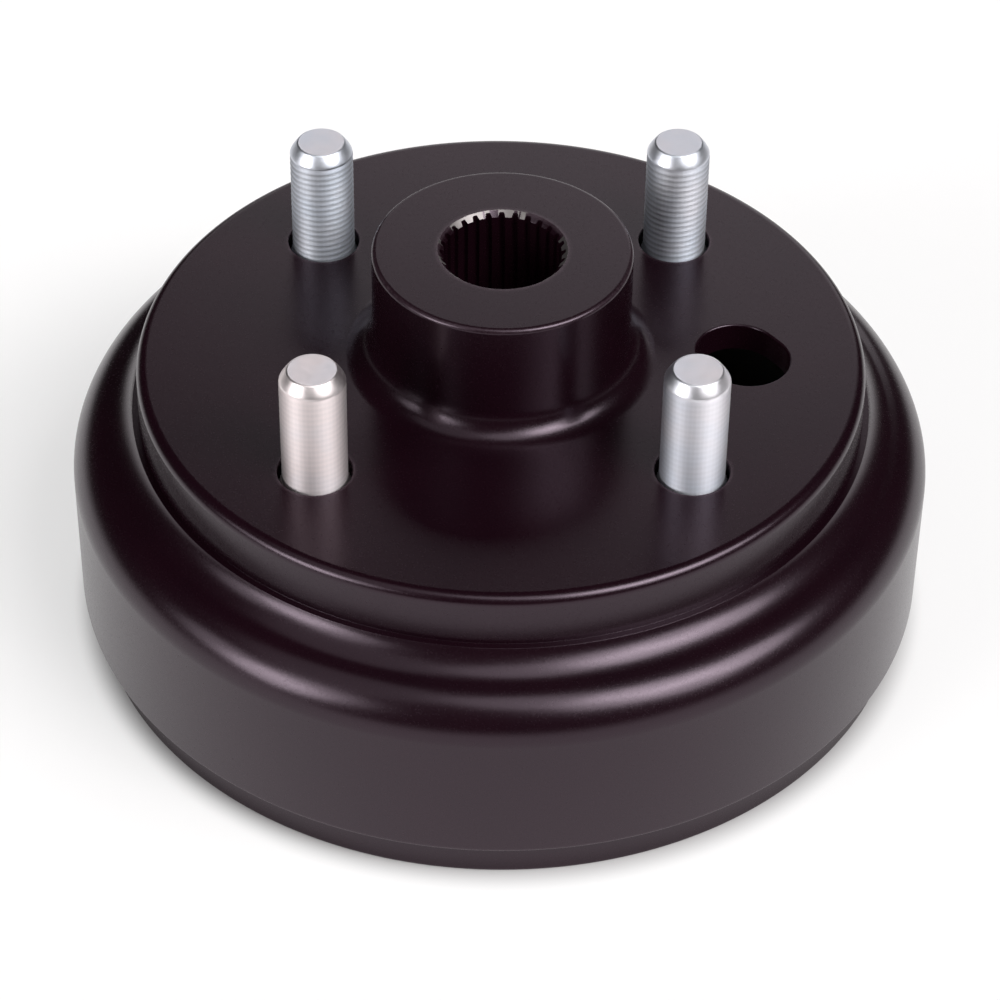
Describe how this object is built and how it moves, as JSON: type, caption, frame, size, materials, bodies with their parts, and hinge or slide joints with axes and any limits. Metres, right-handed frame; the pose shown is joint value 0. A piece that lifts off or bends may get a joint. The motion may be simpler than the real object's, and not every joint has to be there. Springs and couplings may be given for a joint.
{
  "type": "brake drum",
  "caption": "Cast brake drum with stepped shoulder, splined hub and threaded wheel studs pressed into its flange, standing on its open rim.",
  "frame": {"origin": "centre of the open rim's plane, on the axle's axis", "axes": "+Z along the axle's axis, from the open rim towards the wheel; the wheel studs stand at 45 degrees to +X and +Y"},
  "size_m": [0.1716, 0.1716, 0.0864],
  "materials": {
    "drum": "satin black paint over turned cast iron",
    "stud": "bright zinc plated steel"
  },
  "bodies": {
    "root": {"drum_hub": "drum", "wheel_stud_front_left": "stud", "wheel_stud_front_right": "stud", "wheel_stud_rear_left": "stud", "wheel_stud_rear_right": "stud"}
  },
  "joints": []
}
